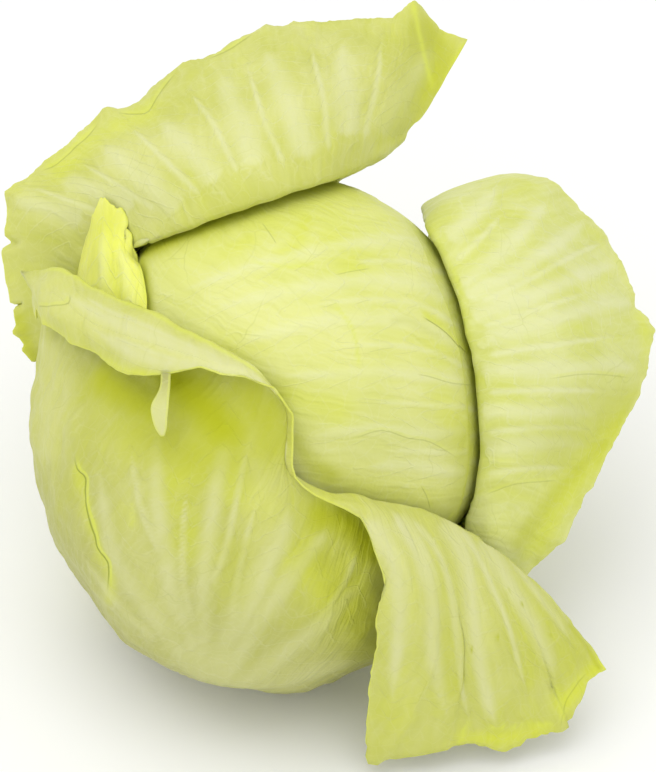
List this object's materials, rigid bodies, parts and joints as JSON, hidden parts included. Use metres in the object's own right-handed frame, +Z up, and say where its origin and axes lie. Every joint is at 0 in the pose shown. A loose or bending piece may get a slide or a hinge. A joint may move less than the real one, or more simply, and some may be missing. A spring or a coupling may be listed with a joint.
{
  "type": "green cabbage",
  "caption": "Loose-leaved green cabbage lying on its side, with a round pale head, peeled outer leaves folded back from it and a short cut stem.",
  "frame": {"origin": "middle of the small flat spot under the back leaf that the cabbage rests on", "axes": "+Z up from the table, +X to the right and +Y away from the viewer in the picture's view; the plant's own axis leans back and to the right"},
  "size_m": [0.274, 0.2538, 0.2226],
  "materials": {
    "head": "waxy, satin",
    "stem": "fibrous, matt",
    "wrapper_leaf": "waxy, satin",
    "leaf_left_inner": "waxy, satin",
    "leaf_right": "waxy, satin",
    "leaf_back": "waxy, satin",
    "leaf_front": "waxy, satin"
  },
  "bodies": {
    "root": {"head": "head", "stem": "stem", "wrapper_leaf": "wrapper_leaf", "leaf_left_inner": "leaf_left_inner", "leaf_right": "leaf_right", "leaf_back": "leaf_back", "leaf_front": "leaf_front"}
  },
  "joints": []
}
